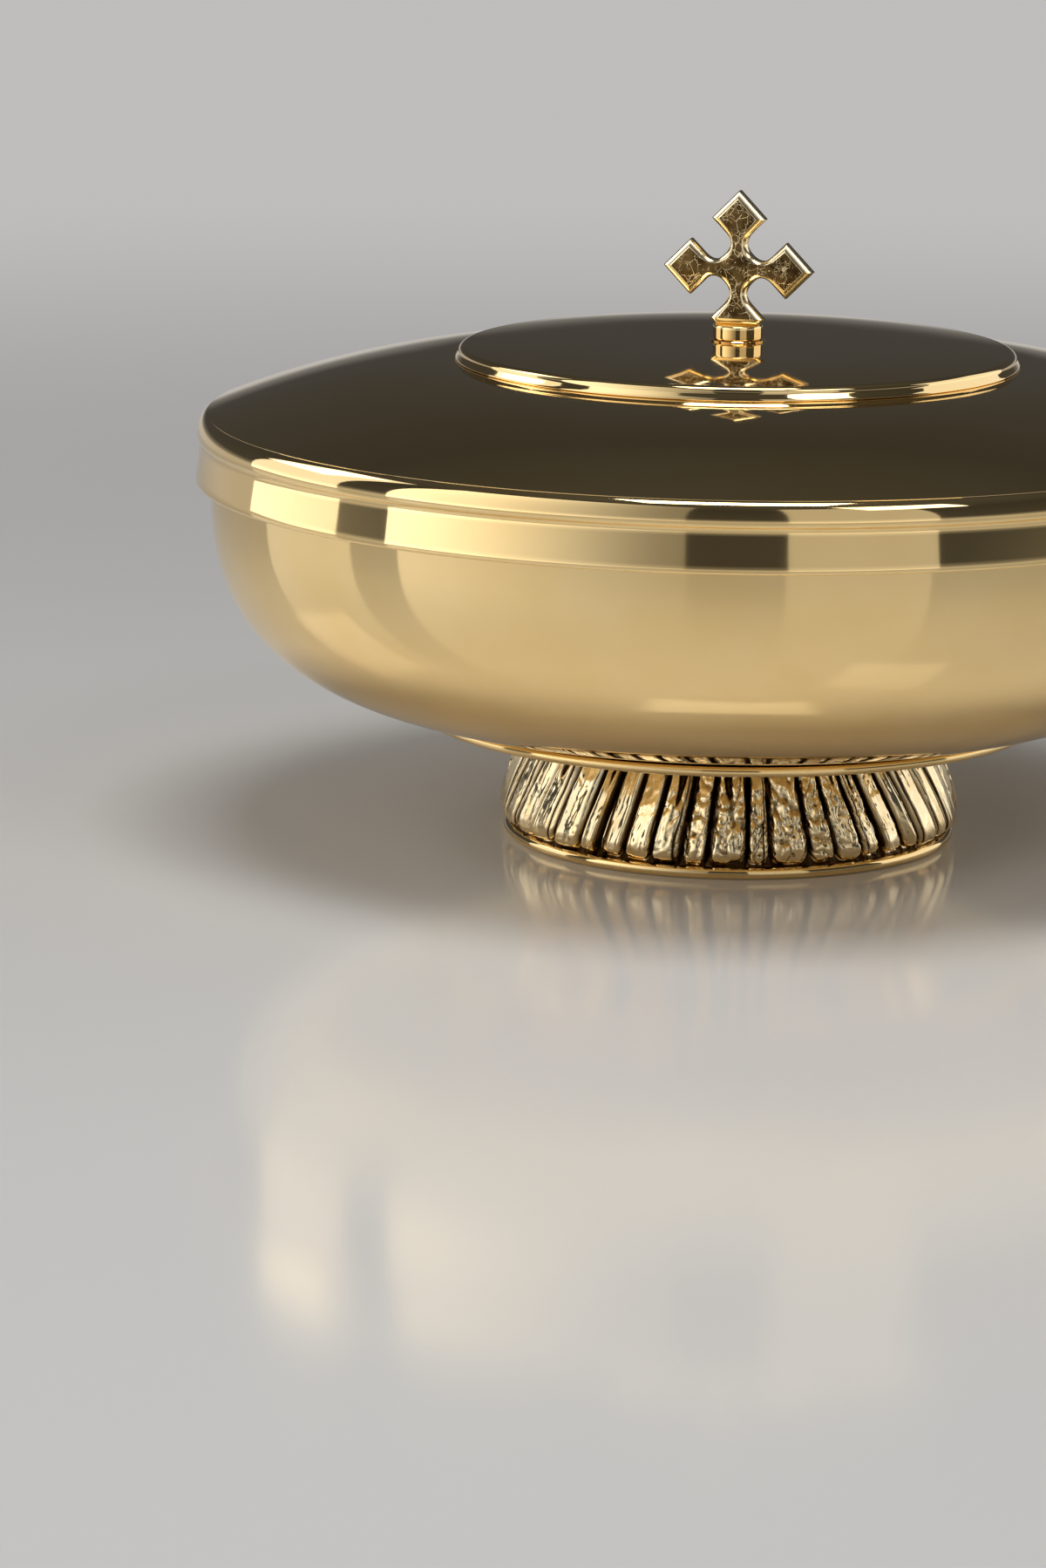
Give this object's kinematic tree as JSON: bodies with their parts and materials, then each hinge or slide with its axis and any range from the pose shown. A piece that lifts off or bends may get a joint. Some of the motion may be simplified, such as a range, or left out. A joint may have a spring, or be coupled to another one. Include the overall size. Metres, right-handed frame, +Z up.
{
  "type": "ciborium",
  "caption": "Wide, low lidded cup on a textured ring foot, with a lift-off domed lid, a raised disc and a cross finial of joined diamonds, in polished gold plate.",
  "frame": {"origin": "centre of the base ring's underside, on the surface that the vessel stands on", "axes": "+Z up along the vessel's axis, +X to the viewer's right and -Y towards the viewer"},
  "size_m": [0.17, 0.17, 0.1024],
  "materials": {
    "polished_gold": "pale gold plate on brass, polished to a mirror",
    "cast_gold": "pale gold plate on a rough casting, bright on the ribs and dark in the grooves",
    "scratched_gold": "gold plate with fine random scratches on the faces and bright bevels",
    "plain_brass": "turned brass, not polished",
    "bright_steel": "bright zinc-plated steel fasteners"
  },
  "bodies": {
    "vessel": {"base_ring": "polished_gold", "foot_band": "cast_gold", "foot_clamp_plate": "plain_brass", "foot_washer": "bright_steel", "foot_spring_washer": "bright_steel", "foot_nut": "bright_steel", "tie_rod": "bright_steel", "flange_plate": "polished_gold", "cup_boss": "plain_brass", "cup": "polished_gold", "cup_rim_ring": "polished_gold"},
    "lid": {"lid_band": "polished_gold", "lid_dome": "polished_gold", "lid_disc": "polished_gold", "finial_washer": "polished_gold", "finial_post": "polished_gold", "finial_cross": "scratched_gold", "finial_stud": "bright_steel", "lid_washer": "plain_brass", "lid_nut": "plain_brass"}
  },
  "joints": [
    {"name": "lid_lift", "type": "slide", "parent": "vessel", "child": "lid", "axis": [0, 0, 1], "range_m": [0, 0.08]}
  ]
}
